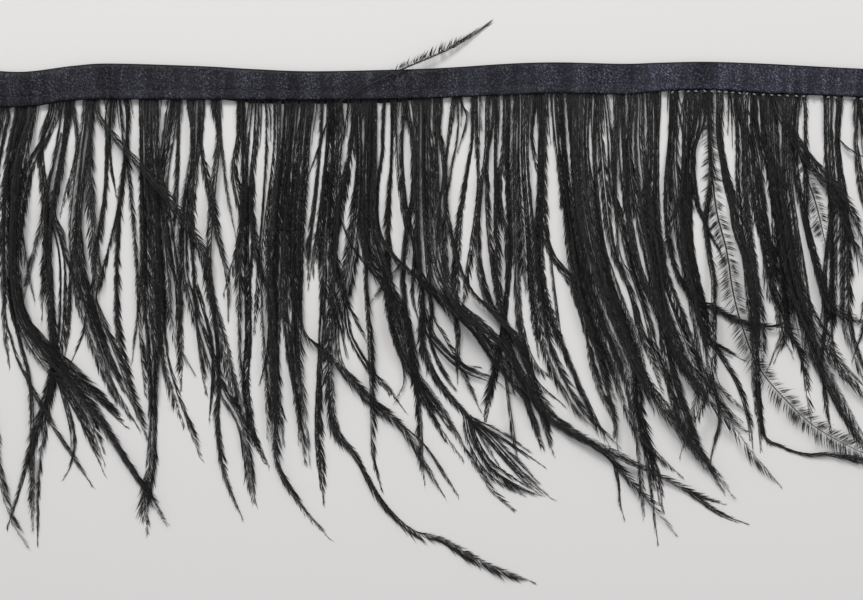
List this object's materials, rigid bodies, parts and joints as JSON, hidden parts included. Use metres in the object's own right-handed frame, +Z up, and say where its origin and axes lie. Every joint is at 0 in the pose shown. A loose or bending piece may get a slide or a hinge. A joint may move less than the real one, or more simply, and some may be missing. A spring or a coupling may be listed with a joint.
{
  "type": "ostrich feather fringe trim",
  "caption": "Length of black ostrich feather fringe: barbs sewn in locks into a folded satin ribbon, lying flat.",
  "frame": {"origin": "on the flat back of the ribbon, at the middle of its length", "axes": "+X along the ribbon, -Y the way the barbs fall, +Z up out of the ribbon's front face"},
  "size_m": [0.3257, 0.1961, 0.0137],
  "materials": {
    "satin": "blue-black satin ribbon, fine diagonal weave with a soft sheen",
    "thread": "twisted black polyester sewing thread",
    "barbs": "dyed black ostrich barbs, soft and faintly glossy"
  },
  "bodies": {
    "root": {"satin_ribbon": "satin", "sewing_thread": "thread", "feather_lock_01": "barbs", "feather_lock_02": "barbs", "feather_lock_03": "barbs", "feather_lock_04": "barbs", "feather_lock_05": "barbs", "feather_lock_06": "barbs", "feather_lock_07": "barbs", "feather_lock_08": "barbs", "feather_lock_09": "barbs", "feather_lock_10": "barbs", "feather_lock_11": "barbs", "feather_lock_12": "barbs", "feather_lock_13": "barbs", "feather_lock_14": "barbs", "feather_lock_15": "barbs", "feather_lock_16": "barbs", "feather_lock_17": "barbs", "feather_lock_18": "barbs", "feather_lock_19": "barbs", "feather_lock_20": "barbs", "feather_lock_21": "barbs", "feather_lock_22": "barbs", "feather_lock_23": "barbs", "feather_lock_24": "barbs", "feather_lock_25": "barbs", "feather_lock_26": "barbs", "feather_lock_27": "barbs", "feather_lock_28": "barbs", "feather_lock_29": "barbs", "feather_lock_30": "barbs", "feather_lock_31": "barbs", "feather_lock_32": "barbs", "feather_lock_33": "barbs", "feather_lock_34": "barbs", "feather_lock_35": "barbs", "feather_lock_36": "barbs", "feather_lock_37": "barbs", "feather_lock_38": "barbs", "feather_lock_39": "barbs", "feather_lock_40": "barbs", "feather_lock_41": "barbs", "feather_lock_42": "barbs", "feather_lock_43": "barbs", "feather_lock_44": "barbs", "feather_lock_45": "barbs", "feather_lock_46": "barbs", "feather_lock_47": "barbs", "feather_lock_48": "barbs", "feather_lock_49": "barbs", "feather_lock_50": "barbs", "feather_lock_51": "barbs", "feather_lock_52": "barbs", "feather_lock_53": "barbs", "feather_lock_54": "barbs", "feather_lock_55": "barbs", "feather_lock_56": "barbs", "stray_barb": "barbs"}
  },
  "joints": []
}
